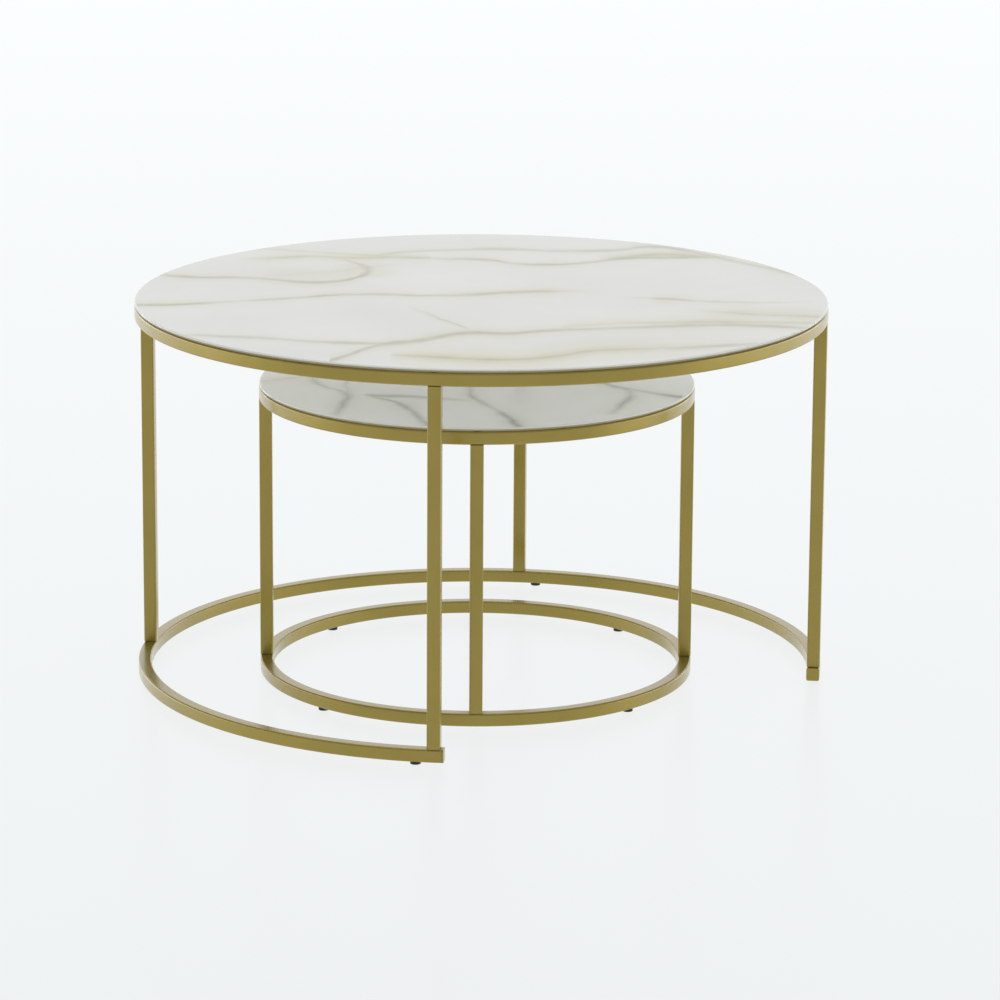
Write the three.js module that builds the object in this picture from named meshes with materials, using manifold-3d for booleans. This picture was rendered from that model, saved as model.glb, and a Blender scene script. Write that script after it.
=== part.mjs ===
// Two round nesting tables: square steel tube frames with marble-effect glass tops.
// The small table stands inside the large one and pulls out through the gap in its base ring.
// Millimetres, +Z up. The origin is on the floor, under the centre of the large top.
// The open side of the large table's base faces -Y.

import * as THREE from 'three';
import { mergeVertices } from 'three/addons/utils/BufferGeometryUtils.js';
import Module from 'manifold-3d';

// Driving dimensions of the large table.
const LARGE_DIAMETER = 800;
const LARGE_HEIGHT = 445;
const LARGE_LEG_TURN = 45; // degrees from -Y to the first leg
const BASE_GAP_ANGLE = 90; // degrees between the two legs beside the open side of the base

// Driving dimensions of the small table, and where it stands when it is nested.
const SMALL_DIAMETER = 505;
const SMALL_HEIGHT = 348;
const SMALL_LEG_TURN = 52.4;
const SMALL_CENTRE_X = -6;

// Square steel tube, used for the rings and the legs.
const TUBE = 15;
const TUBE_WALL = 1.2;
const HALF_TUBE = TUBE / 2;
const TUBE_HOLLOW = TUBE - 2 * TUBE_WALL;

// Glass tops, on clear silicone dots.
const GLASS_THICKNESS = 4;
const GLASS_EDGE_CHAMFER = 0.8;
const PAD_DIAMETER = 10;
const PAD_THICKNESS = 0.5;
const PADS_PER_TABLE = 8;

// Push-in plastic glides under the base rings.
const GLIDE_HEIGHT = 3.5;
const GLIDE_DIAMETER = 12;
const GLIDE_EDGE = 0.8;
const GLIDE_STEM_DIAMETER = 5;
const GLIDE_STEM_LENGTH = 6;
const LARGE_GLIDE_OFFSET = 3; // degrees from the leg to its glide, away from the open side

// M6 button-head bolts, which join each leg to both rings from inside the ring tubes.
const BOLT_DIAMETER = 6;
const BOLT_LENGTH = 14;
const BOLT_HEAD_DIAMETER = 10.5;
const BOLT_HEAD_HEIGHT = 3.3;
const BOLT_SOCKET_WIDTH = 4;
const BOLT_SOCKET_DEPTH = 2;
const BOLT_ACCESS_DIAMETER = 12;
const LEG_PLUG_LENGTH = 15; // solid threaded block welded into each end of a leg

// Ends of the large base ring's tube, and the caps that close them.
const TUBE_END_PAST_LEG = 2;
const CAP_THICKNESS = 1.5;
const CAP_PLUG_LENGTH = 4; // stops short of the bolt head inside the tube
const CAP_PLUG_PLAY = 1; // difference between the tube's hollow and the cap's plug

const CLEARANCE = 0.3; // gap left between a piece and the hole that it goes into

// How finely the round shapes are divided.
const RING_SIDES = 72;
const SMALL_SIDES = 12; // bolts, glides, pads and their holes

const RIM_HEIGHT = TUBE + PAD_THICKNESS + GLASS_THICKNESS;
const BASE_BOTTOM = GLIDE_HEIGHT;
const BASE_TOP = BASE_BOTTOM + TUBE;
const TUBE_END = HALF_TUBE + TUBE_END_PAST_LEG; // from the leg's centre line

const GOLD_STEEL = { color: 0x8f8046, roughness: 0.38, metalness: 0.9 };
const MARBLE_GLASS = { color: 0xe4e4df, roughness: 0.08, metalness: 0 };
const CLEAR_SILICONE = { color: 0xd9dcd8, roughness: 0.5, metalness: 0 };
const BLACK_PLASTIC = { color: 0x1d1d1c, roughness: 0.6, metalness: 0 };
const ZINC_STEEL = { color: 0x9a9c9e, roughness: 0.35, metalness: 1 };

const LEG_PLACES = ['front_right', 'rear_right', 'rear_left', 'front_left'];

const wasm = await Module();
wasm.setup();

// Booleans.

function toSolid(geometry) {
  const points = geometry.clone();
  points.deleteAttribute('normal');
  points.deleteAttribute('uv');
  const merged = mergeVertices(points, 1e-4);
  return new wasm.Manifold(new wasm.Mesh({
    numProp: 3,
    vertProperties: new Float32Array(merged.attributes.position.array),
    triVerts: new Uint32Array(merged.index.array),
  }));
}

function toGeometry(solid) {
  const mesh = solid.getMesh();
  const geometry = new THREE.BufferGeometry();
  geometry.setAttribute('position', new THREE.BufferAttribute(mesh.vertProperties, 3));
  geometry.setIndex(new THREE.BufferAttribute(mesh.triVerts, 1));
  geometry.computeVertexNormals();
  return geometry;
}

function cut(body, tools) {
  let solid = toSolid(body);
  for (const tool of tools) {
    solid = solid.subtract(toSolid(tool));
  }
  return toGeometry(solid);
}

// Basic shapes, all around or along the Z axis.

function turned(profile, sides) {
  const points = profile.map(([radius, height]) => new THREE.Vector2(radius, height));
  return new THREE.LatheGeometry(points, sides).rotateX(Math.PI / 2);
}

function rod(diameter, bottom, top, sides = SMALL_SIDES) {
  const radius = diameter / 2;
  return new THREE.CylinderGeometry(radius, radius, top - bottom, sides)
    .rotateX(Math.PI / 2)
    .translate(0, 0, (bottom + top) / 2);
}

function block(width, depth, bottom, top) {
  return new THREE.BoxGeometry(width, depth, top - bottom)
    .translate(0, 0, (bottom + top) / 2);
}

function squareRing(innerRadius, outerRadius, bottom, top) {
  return turned([
    [innerRadius, bottom],
    [outerRadius, bottom],
    [outerRadius, top],
    [innerRadius, top],
    [innerRadius, bottom],
  ], RING_SIDES);
}

// Places around a table. An angle is in degrees from -Y, turning towards +X.

function aroundZ(angle) {
  return THREE.MathUtils.degToRad(angle);
}

function atAngle(geometry, radius, angle) {
  return geometry.translate(0, -radius, 0).rotateZ(aroundZ(angle));
}

function legAngles(firstLeg) {
  return LEG_PLACES.map((place, index) => firstLeg + index * 90);
}

// The wedge that is taken out of the large base ring between its two front legs.
// Its sides are parallel to the sides of the legs.
function gapWedge(outerRadius) {
  const halfAngle = THREE.MathUtils.degToRad(BASE_GAP_ANGLE / 2);
  const reach = 2 * outerRadius;
  const apexDistance = TUBE_END / Math.sin(halfAngle);
  const sideX = reach * Math.sin(halfAngle);
  const sideY = -apexDistance - reach * Math.cos(halfAngle);
  const wedge = new THREE.Shape([
    new THREE.Vector2(0, -apexDistance),
    new THREE.Vector2(-sideX, sideY),
    new THREE.Vector2(sideX, sideY),
  ]);
  return new THREE.ExtrudeGeometry(wedge, { depth: 4 * TUBE, bevelEnabled: false })
    .translate(0, 0, BASE_BOTTOM - TUBE);
}

// Parts of a table. Each returns a geometry in the table's own frame.

function glassTop(table) {
  const radius = table.diameter / 2;
  const bottom = table.height - GLASS_THICKNESS;
  return turned([
    [0, bottom],
    [radius - GLASS_EDGE_CHAMFER, bottom],
    [radius, bottom + GLASS_EDGE_CHAMFER],
    [radius, table.height - GLASS_EDGE_CHAMFER],
    [radius - GLASS_EDGE_CHAMFER, table.height],
    [0, table.height],
  ], RING_SIDES);
}

function hollowRing(table, bottom, extraCuts) {
  const outer = table.diameter / 2;
  const body = squareRing(outer - TUBE, outer, bottom, bottom + TUBE);
  const hollow = squareRing(
    outer - TUBE + TUBE_WALL, outer - TUBE_WALL,
    bottom + TUBE_WALL, bottom + TUBE - TUBE_WALL,
  );
  return cut(body, [hollow, ...extraCuts]);
}

// A bolt hole in the wall that meets the leg, and a wider hole in the far wall for the key.
function boltHoles(table, bottom, legIsAbove) {
  const middle = bottom + HALF_TUBE;
  const lowDiameter = legIsAbove ? BOLT_ACCESS_DIAMETER : BOLT_DIAMETER + 2 * CLEARANCE;
  const highDiameter = legIsAbove ? BOLT_DIAMETER + 2 * CLEARANCE : BOLT_ACCESS_DIAMETER;
  const holes = [];
  for (const angle of legAngles(table.firstLeg)) {
    holes.push(atAngle(rod(lowDiameter, bottom - 1, middle), table.legRadius, angle));
    holes.push(atAngle(rod(highDiameter, middle, bottom + TUBE + 1), table.legRadius, angle));
  }
  return holes;
}

function topRing(table) {
  return hollowRing(table, table.ringBottom, boltHoles(table, table.ringBottom, false));
}

function baseRing(table) {
  const holes = boltHoles(table, BASE_BOTTOM, true);
  for (const angle of table.glideAngles) {
    const hole = rod(GLIDE_STEM_DIAMETER + 2 * CLEARANCE, BASE_BOTTOM - 1, BASE_BOTTOM + HALF_TUBE);
    holes.push(atAngle(hole, table.legRadius, angle));
  }
  if (table.baseIsOpen) {
    holes.push(gapWedge(table.diameter / 2));
  }
  return hollowRing(table, BASE_BOTTOM, holes);
}

function leg(table) {
  const hollowBottom = BASE_TOP + LEG_PLUG_LENGTH;
  const hollowTop = table.ringBottom - LEG_PLUG_LENGTH;
  const thread = rod(BOLT_DIAMETER + 2 * CLEARANCE, BASE_TOP - 1, table.ringBottom + 1);
  const hollow = block(TUBE_HOLLOW, TUBE_HOLLOW, hollowBottom, hollowTop);
  return cut(block(TUBE, TUBE, BASE_TOP, table.ringBottom), [hollow, thread]);
}

// A bolt that points up, with the underside of its head at height zero.
function bolt() {
  const headEdge = BOLT_HEAD_DIAMETER / 2;
  const body = turned([
    [0, -BOLT_HEAD_HEIGHT],
    [headEdge * 0.65, -BOLT_HEAD_HEIGHT],
    [headEdge, 0],
    [BOLT_DIAMETER / 2, 0],
    [BOLT_DIAMETER / 2, BOLT_LENGTH],
    [0, BOLT_LENGTH],
  ], SMALL_SIDES);
  const socketAcrossCorners = BOLT_SOCKET_WIDTH / Math.cos(Math.PI / 6);
  const socketTop = -BOLT_HEAD_HEIGHT + BOLT_SOCKET_DEPTH;
  const socket = rod(socketAcrossCorners, -BOLT_HEAD_HEIGHT - 1, socketTop, 6);
  return cut(body, [socket]);
}

function glide() {
  const radius = GLIDE_DIAMETER / 2;
  const stem = GLIDE_STEM_DIAMETER / 2;
  return turned([
    [0, 0],
    [radius - GLIDE_EDGE, 0],
    [radius, GLIDE_EDGE],
    [radius, GLIDE_HEIGHT],
    [stem, GLIDE_HEIGHT],
    [stem, GLIDE_HEIGHT + GLIDE_STEM_LENGTH],
    [0, GLIDE_HEIGHT + GLIDE_STEM_LENGTH],
  ], SMALL_SIDES);
}

// A cap beside a front leg: a plate over the tube end and a plug that goes into the tube.
// inward is +1 where the tube runs on towards +X from its end, and -1 where it runs towards -X.
function endCap(inward) {
  const plateX = -inward * (TUBE_END + CLEARANCE + CAP_THICKNESS / 2);
  const plate = block(CAP_THICKNESS, TUBE, BASE_BOTTOM, BASE_TOP).translate(plateX, 0, 0);
  const plugSize = TUBE_HOLLOW - CAP_PLUG_PLAY;
  const plugBottom = BASE_BOTTOM + (TUBE - plugSize) / 2;
  const plugX = -inward * (TUBE_END + CLEARANCE - CAP_PLUG_LENGTH / 2);
  const plug = block(CAP_PLUG_LENGTH, plugSize, plugBottom, plugBottom + plugSize).translate(plugX, 0, 0);
  return toGeometry(toSolid(plate).add(toSolid(plug)));
}

// Placing the parts.

function addPart(parent, name, geometry, look, angle = 0, radius = 0, height = 0) {
  const mesh = new THREE.Mesh(geometry, new THREE.MeshStandardMaterial(look));
  mesh.name = name;
  mesh.position.set(radius * Math.sin(aroundZ(angle)), -radius * Math.cos(aroundZ(angle)), height);
  mesh.rotation.z = aroundZ(angle);
  parent.add(mesh);
  return mesh;
}

function buildTable(table) {
  const group = new THREE.Group();
  const prefix = table.name;
  addPart(group, `${prefix}_glass_top`, glassTop(table), MARBLE_GLASS);
  addPart(group, `${prefix}_top_ring`, topRing(table), GOLD_STEEL);
  addPart(group, `${prefix}_base_ring`, baseRing(table), GOLD_STEEL);

  legAngles(table.firstLeg).forEach((angle, index) => {
    const place = LEG_PLACES[index];
    addPart(group, `${prefix}_leg_${place}`, leg(table), GOLD_STEEL, angle, table.legRadius);
    const baseSeat = BASE_TOP - TUBE_WALL;
    addPart(group, `${prefix}_base_bolt_${place}`, bolt(), ZINC_STEEL, angle, table.legRadius, baseSeat);
    const topSeat = table.ringBottom + TUBE_WALL;
    const downwardBolt = bolt().rotateX(Math.PI);
    addPart(group, `${prefix}_top_bolt_${place}`, downwardBolt, ZINC_STEEL, angle, table.legRadius, topSeat);
  });

  table.glideAngles.forEach((angle, index) => {
    addPart(group, `${prefix}_glide_${LEG_PLACES[index]}`, glide(), BLACK_PLASTIC, angle, table.legRadius);
  });

  const padBottom = table.ringBottom + TUBE;
  for (let index = 0; index < PADS_PER_TABLE; index += 1) {
    const angle = table.firstLeg + (index + 0.5) * (360 / PADS_PER_TABLE);
    const pad = rod(PAD_DIAMETER, padBottom, padBottom + PAD_THICKNESS);
    addPart(group, `${prefix}_glass_pad_${index + 1}`, pad, CLEAR_SILICONE, angle, table.legRadius);
  }
  return group;
}

const largeTable = {
  name: 'large',
  diameter: LARGE_DIAMETER,
  height: LARGE_HEIGHT,
  ringBottom: LARGE_HEIGHT - RIM_HEIGHT,
  legRadius: LARGE_DIAMETER / 2 - HALF_TUBE,
  firstLeg: LARGE_LEG_TURN,
  baseIsOpen: true,
  glideAngles: [
    LARGE_LEG_TURN + LARGE_GLIDE_OFFSET,
    LARGE_LEG_TURN + 90 - LARGE_GLIDE_OFFSET,
    LARGE_LEG_TURN + 180 + LARGE_GLIDE_OFFSET,
    LARGE_LEG_TURN + 270 - LARGE_GLIDE_OFFSET,
  ],
};

const smallTable = {
  name: 'small',
  diameter: SMALL_DIAMETER,
  height: SMALL_HEIGHT,
  ringBottom: SMALL_HEIGHT - RIM_HEIGHT,
  legRadius: SMALL_DIAMETER / 2 - HALF_TUBE,
  firstLeg: SMALL_LEG_TURN,
  baseIsOpen: false,
  glideAngles: legAngles(SMALL_LEG_TURN - 45),
};

const group = new THREE.Group();

const largeGroup = buildTable(largeTable);
const openSide = LARGE_LEG_TURN;
addPart(largeGroup, 'large_end_cap_right', endCap(1), GOLD_STEEL, openSide, largeTable.legRadius);
addPart(largeGroup, 'large_end_cap_left', endCap(-1), GOLD_STEEL, -openSide, largeTable.legRadius);
group.add(largeGroup);

const smallGroup = buildTable(smallTable);
smallGroup.position.x = SMALL_CENTRE_X;
group.add(smallGroup);

export default group;
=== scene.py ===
# %% [markdown]
# # Two nesting tables
# A large round table and a small one that stands inside it and slides out. Each has a base ring,
# four legs and a top ring of square steel tube in a champagne gold finish, and a round glass top
# with a marble print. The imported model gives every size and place. This lesson gives the pieces
# their fine shape, such as rounded tube corners and polished glass edges, and their finishes.

# %% Load the frame
import math

import bmesh
import bpy
from mathutils import Matrix, Vector


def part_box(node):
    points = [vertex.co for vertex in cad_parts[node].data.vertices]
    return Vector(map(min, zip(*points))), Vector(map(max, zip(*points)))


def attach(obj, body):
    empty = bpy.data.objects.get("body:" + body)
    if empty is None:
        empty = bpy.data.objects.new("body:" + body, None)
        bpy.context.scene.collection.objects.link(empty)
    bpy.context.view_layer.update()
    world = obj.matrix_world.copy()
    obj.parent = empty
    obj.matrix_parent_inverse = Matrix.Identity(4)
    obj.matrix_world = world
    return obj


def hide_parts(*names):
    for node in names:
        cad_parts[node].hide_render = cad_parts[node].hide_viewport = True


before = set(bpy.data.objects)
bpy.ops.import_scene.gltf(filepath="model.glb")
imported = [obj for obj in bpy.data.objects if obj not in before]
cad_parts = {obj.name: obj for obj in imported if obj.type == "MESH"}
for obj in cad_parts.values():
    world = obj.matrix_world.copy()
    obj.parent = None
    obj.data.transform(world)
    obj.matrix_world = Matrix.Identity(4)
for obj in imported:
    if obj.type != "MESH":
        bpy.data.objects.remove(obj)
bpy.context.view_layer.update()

MM = 0.001

# %% [markdown]
# ## Sizes and places
# Nothing is typed in that the frame already knows. A node's box gives its size and its middle.
# The middle of a leg, seen from the middle of its table, gives the radius and the direction
# in which a copy of a piece has to be put.

# %% Read sizes and places from the frame
TABLES = ("large", "small")
PLACES = ("front_right", "rear_right", "rear_left", "front_left")


def size_of(node):
    low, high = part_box(node)
    return high - low


def middle_of(node):
    low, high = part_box(node)
    return (low + high) / 2


def bottom_of(node):
    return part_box(node)[0].z


def direction_of(node, table):
    """The angle from +X at which a node stands, seen from the middle of its table."""
    offset = middle_of(node) - middle_of(f"{table}_glass_top")
    return math.atan2(offset.y, offset.x)


def axis_of(table):
    """The point on the floor under the middle of a table."""
    middle = middle_of(f"{table}_glass_top")
    return Vector((middle.x, middle.y, 0))


def tube_radius(table):
    """From the middle of a table to the middle line of its ring tubes."""
    return (size_of(f"{table}_top_ring").x - TUBE) / 2


def along_ring(node, table, way):
    """The level direction along the ring tube at a node: way is 1 for growing angles, -1 for falling."""
    angle = direction_of(node, table)
    return Vector((-math.sin(angle), math.cos(angle), 0)) * way


TUBE = size_of("large_top_ring").z
HAIR = MM / 100
for table in TABLES:
    height = round(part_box(f"{table}_glass_top")[1].z / MM)
    circle = round(tube_radius(table) / MM, 1)
    print(table, "table: top at", height, "mm, tube circle", circle, "mm")

# %% [markdown]
# ## Working by hand, in code
# Blender's operators act on what is selected, so each step first deselects everything. The
# helpers below are the moves that come back for every piece: start from a primitive, choose
# edges or faces by where they are, cut holes, and put the object's place into its mesh.

# %% Helpers for modelling
def select_only(*objects):
    for each in bpy.context.selected_objects:
        each.select_set(False)
    for each in objects:
        each.select_set(True)
    bpy.context.view_layer.objects.active = objects[0]


def start(name, primitive, **placing):
    """Add a primitive, put its place into its mesh and leave it in edit mode with all selected."""
    if bpy.context.selected_objects:
        select_only(bpy.context.selected_objects[0])
    primitive(**placing)
    piece = bpy.context.object
    piece.name = name
    piece.data.name = name
    settle(piece)
    bpy.ops.object.mode_set(mode="EDIT")
    bpy.ops.mesh.select_all(action="SELECT")
    return piece


def settle(piece):
    """Put an object's place, turn and size into its mesh, so that it sits at the origin."""
    select_only(piece)
    bpy.ops.object.transform_apply(location=True, rotation=True, scale=True)
    return piece


def choose(piece, kind, test):
    """In edit mode, select the 'faces' or 'edges' of a piece for which test is true."""
    bpy.ops.mesh.select_mode(type="FACE" if kind == "faces" else "EDGE")
    bpy.ops.mesh.select_all(action="DESELECT")
    mesh = bmesh.from_edit_mesh(piece.data)
    found = 0
    for part in getattr(mesh, kind):
        if test(part):
            part.select_set(True)
            found += 1
    bmesh.update_edit_mesh(piece.data)
    return found


def close_up(piece):
    """Merge doubles, turn the faces outwards and leave edit mode."""
    bpy.ops.mesh.select_mode(type="VERT")
    bpy.ops.mesh.select_all(action="SELECT")
    bpy.ops.mesh.remove_doubles(threshold=HAIR / 5)
    bpy.ops.mesh.normals_make_consistent(inside=False)
    bpy.ops.object.mode_set(mode="OBJECT")
    return piece


def cut(piece, cutter):
    """Take the cutter's shape out of the piece."""
    select_only(piece)
    modifier = piece.modifiers.new("cut", "BOOLEAN")
    modifier.operation = "DIFFERENCE"
    modifier.solver = "EXACT"
    modifier.object = cutter
    bpy.ops.object.modifier_apply(modifier=modifier.name)
    return piece


def discard(*objects):
    for each in objects:
        bpy.data.objects.remove(each)


def copy_to(master, name, place, turn):
    """A copy of a piece with a mesh of its own, turned about Z and put in its place."""
    select_only(master)
    bpy.ops.object.duplicate(linked=False)
    piece = bpy.context.object
    piece.name = name
    piece.data.name = name
    piece.location = place
    piece.rotation_euler.z = turn
    return settle(piece)


def shade(piece, angle=30):
    """Smooth the rounds, keep the edges that are sharper than the angle and the flats flat."""
    select_only(piece)
    bpy.ops.object.shade_smooth_by_angle(angle=math.radians(angle))
    modifier = piece.modifiers.new("flat_faces", "WEIGHTED_NORMAL")
    modifier.keep_sharp = True
    bpy.ops.object.modifier_apply(modifier=modifier.name)


made = []


def hand_in(piece, table, nodes, materials):
    """The finished piece stands for its nodes, rides on its table and takes its finish."""
    shade(piece)
    for material in materials:
        piece.data.materials.append(material)
    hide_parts(*nodes)
    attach(piece, f"{table}_table")
    made.append(piece)


# %% [markdown]
# ## Helpers for finishes
# Colours are picked as sRGB hex values, as on a paint chart, and shaders want linear light, so
# one function converts them. One more function adds any node with its settings and its links.
# The grain of a sprayed or moulded face is some hundredths of a millimetre high.

# %% Helpers for materials
BUMP_HEIGHT = 0.05 * MM


def linear(hex_value):
    """The linear light, with full alpha, of an sRGB colour such as "#FFFFFF"."""
    channels = [int(hex_value[start:start + 2], 16) / 255 for start in (1, 3, 5)]
    light = [c / 12.92 if c <= 0.04045 else ((c + 0.055) / 1.055) ** 2.4 for c in channels]
    return (*light, 1)


def socket_named(sockets, name):
    """The socket with that name which the node's settings leave in use."""
    if isinstance(name, int):
        return sockets[name]
    return next(each for each in sockets if each.name == name and each.enabled)


def add(material, kind, inputs=None, output=None, **settings):
    """Add a node, fill its inputs with values or with other nodes' outputs, give its output."""
    tree = material.node_tree
    node = tree.nodes.new(kind)
    for name, value in settings.items():
        setattr(node, name, value)
    for name, value in (inputs or {}).items():
        socket = socket_named(node.inputs, name)
        if isinstance(value, bpy.types.NodeSocket):
            tree.links.new(value, socket)
        else:
            socket.default_value = value
    if not node.outputs:
        return node
    if output:
        return socket_named(node.outputs, output)
    return next(each for each in node.outputs if each.enabled)


def new_material(name):
    material = bpy.data.materials.new(name)
    material.use_nodes = True
    material.node_tree.nodes.clear()
    return material


def surface(material, inputs):
    """The principled shader that every finish ends in."""
    shader = add(material, "ShaderNodeBsdfPrincipled", inputs)
    add(material, "ShaderNodeOutputMaterial", {"Surface": shader})


def grain(material, size, detail=2.0, stretch=(1, 1, 1)):
    """Noise on the object's own coordinates, with cells about as wide as size, in metres."""
    here = add(material, "ShaderNodeTexCoord", output="Object")
    scaled = add(material, "ShaderNodeMapping", {"Vector": here, "Scale": stretch})
    return add(material, "ShaderNodeTexNoise", {"Vector": scaled, "Scale": 1 / size, "Detail": detail})


def spread(material, value, low, high):
    """Stretch the middle of a noise, where nearly all its values are, to run from low to high."""
    return add(material, "ShaderNodeMapRange", {
        "Value": value, "From Min": 0.3, "From Max": 0.7, "To Min": low, "To Max": high,
    })


# %% [markdown]
# ## Champagne gold powder coat
# The tubes are sprayed with a powder full of fine metal flake, and a clear powder is baked over
# it. To the eye that is a satin metal with no sharp mirror images, and the clear coat turns it
# pale and bright where it is seen along its face. Baked powder flows out almost flat and keeps
# a faint waviness, called orange peel, about a millimetre across. It is drawn a little coarser
# than that, as it would be too fine to show. The flake lies a little more densely in some
# places than in others, and the powder between the flakes is no metal, so the finish is a
# little less than all metal.

# %% Gold finish
ORANGE_PEEL = 1.6 * MM
FLAKE_CLOUD = 60 * MM


def champagne_gold_coat():
    material = new_material("champagne_gold_powder_coat")
    cloud = grain(material, FLAKE_CLOUD, detail=3)
    colour = add(material, "ShaderNodeMix", {
        "Factor": spread(material, cloud, 0, 1),
        "A": linear("#978429"), "B": linear("#A18D34"),
    }, data_type="RGBA")
    peel = grain(material, ORANGE_PEEL, detail=1)
    waves = add(material, "ShaderNodeBump", {"Height": peel, "Strength": 0.06, "Distance": BUMP_HEIGHT})
    surface(material, {
        "Base Color": colour,
        "Metallic": 0.85,
        "Roughness": spread(material, cloud, 0.40, 0.46),
        "Coat Weight": 1.0,
        "Coat IOR": 1.5,
        "Coat Roughness": 0.2,
        "Normal": waves,
    })
    return material


gold = champagne_gold_coat()
print("made", gold.name)

# %% [markdown]
# ## Marble print under glass
# The stone is printed on the back of clear float glass, so its colour lies under a hard, flat
# face. That face is lightly etched: it has a satin sheen that brightens towards the far side
# and no sharp mirror images. The print copies white Calacatta marble: long veins, each with a
# fine dark line, a soft grey or golden core and a wide warm stain, on a white ground with pale
# clouds.
#
# A vein is drawn as a smooth curve over the top, from a few points in millimetres. A Float
# Curve node turns the distance along the vein into its distance to the side, and a second one
# into its strength. Noise bends the ground first, so that no vein is as smooth as its curve,
# and larger patches of noise let each vein fade and come back.

# %% Veins of the two prints
# A vein's points are (along, side, strength), in millimetres from the middle of the top. Most
# veins run to the right, with the stone, and a few run across it, away from the open side. The
# widths, also in millimetres, are those of the core and of the stain on each side.
LARGE_VEINS = (
    {"run": "right", "core": 14, "stain": 45, "tone": "grey", "points": (
        (-400, -60, 1.0), (-335, -52, 1.0), (-280, -32, 0.6), (-215, -12, 0.5), (-180, 2, 0.9),
        (-120, 12, 0.9), (-70, 7, 0.7), (-15, 12, 0.8), (30, 26, 0.7), (80, 34, 0.1), (110, 36, 0))},
    {"run": "right", "core": 26, "stain": 60, "tone": "gold", "points": (
        (-60, 15, 0), (0, 22, 0.7), (45, 32, 0.9), (90, 36, 0.4), (150, 32, 0))},
    {"run": "right", "core": 16, "stain": 50, "tone": "grey", "points": (
        (-380, 125, 0.4), (-330, 108, 0.8), (-280, 108, 0.8), (-240, 96, 0.8), (-205, 82, 1.0),
        (-165, 92, 1.0), (-142, 125, 1.0), (-128, 160, 0))},
    {"run": "away", "core": 12, "stain": 55, "tone": "grey", "points": (
        (110, -148, 0.5), (145, -134, 1.0), (180, -138, 0.8), (210, -155, 0.5), (240, -180, 0))},
    {"run": "right", "core": 60, "stain": 95, "tone": "gold", "points": (
        (-260, 120, 0), (-225, 130, 0.4), (-180, 150, 0.5), (-140, 175, 0.4), (-90, 200, 0))},
    {"run": "right", "core": 30, "stain": 75, "tone": "gold", "points": (
        (-300, 215, 0), (-250, 236, 0.5), (-205, 245, 0.8), (-150, 236, 0.8), (-105, 242, 1.0),
        (-60, 238, 0))},
    {"run": "right", "core": 16, "stain": 45, "tone": "grey", "points": (
        (-120, 250, 0.4), (-60, 235, 0.5), (10, 227, 0.8), (36, 206, 1.0), (85, 201, 1.0),
        (128, 216, 0.9), (178, 245, 0.8), (228, 250, 0.7), (262, 254, 0.5), (310, 250, 0))},
    {"run": "right", "core": 34, "stain": 75, "tone": "gold", "points": (
        (140, 236, 0), (175, 256, 0.8), (215, 270, 1.0), (262, 262, 0.5), (310, 246, 0))},
    {"run": "right", "core": 18, "stain": 48, "tone": "grey", "points": (
        (-130, 252, 0.3), (-95, 275, 0.5), (-40, 292, 0.4), (30, 300, 0.5), (95, 290, 0.5),
        (165, 298, 0.7), (210, 322, 1.0), (245, 298, 0.6), (290, 245, 0.5), (345, 182, 0.7),
        (375, 140, 0))},
    {"run": "right", "core": 16, "stain": 50, "tone": "grey", "points": (
        (-85, -60, 0), (-68, -88, 0.3), (-48, -125, 0.7), (-28, -160, 0.7), (-12, -185, 0))},
    {"run": "right", "core": 18, "stain": 55, "tone": "grey", "points": (
        (-168, -362, 0.9), (-150, -338, 1.0), (-122, -288, 1.0), (-98, -262, 1.0),
        (-62, -248, 1.0), (-45, -228, 0.9), (-25, -210, 0.9), (35, -207, 1.0), (62, -194, 0.9),
        (137, -178, 0.8), (205, -164, 0.8), (262, -155, 0.8), (312, -158, 0.9), (362, -170, 0.8),
        (385, -180, 0.4))},
    {"run": "right", "core": 30, "stain": 70, "tone": "gold", "points": (
        (-120, -290, 0), (-85, -262, 0.7), (-50, -225, 1.0), (-15, -205, 0.6), (40, -200, 0))},
    {"run": "right", "core": 26, "stain": 70, "tone": "gold", "points": (
        (90, -170, 0), (150, -150, 0.8), (230, -140, 1.0), (310, -138, 0.9), (385, -140, 0.6))},
    {"run": "right", "core": 16, "stain": 42, "tone": "grey", "points": (
        (-340, -225, 0), (-295, -230, 0.5), (-238, -241, 0.7), (-172, -260, 0.7), (-122, -266, 0.7),
        (-95, -266, 0))},
    {"run": "right", "core": 36, "stain": 110, "tone": "gold", "points": (
        (-100, -325, 0), (-55, -335, 0.8), (-10, -345, 1.0), (45, -345, 1.0), (85, -325, 0.8),
        (120, -300, 0.7), (180, -285, 0.7), (240, -272, 0.4), (300, -262, 0))},
    {"run": "right", "core": 16, "stain": 60, "tone": "grey", "points": (
        (200, -290, 0), (240, -275, 0.5), (285, -262, 0.6), (330, -250, 0))},
    {"run": "right", "core": 14, "stain": 60, "tone": "grey", "points": (
        (150, 6, 0), (195, -2, 0.3), (222, -8, 0.9), (250, -18, 0.5), (300, -24, 0.4),
        (345, -22, 0.2), (395, -10, 0))},
    {"run": "right", "core": 34, "stain": 80, "tone": "gold", "points": (
        (225, -60, 0), (275, -82, 0.3), (320, -96, 0.7), (355, -100, 0.8), (392, -108, 0.5))},
)
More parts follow.
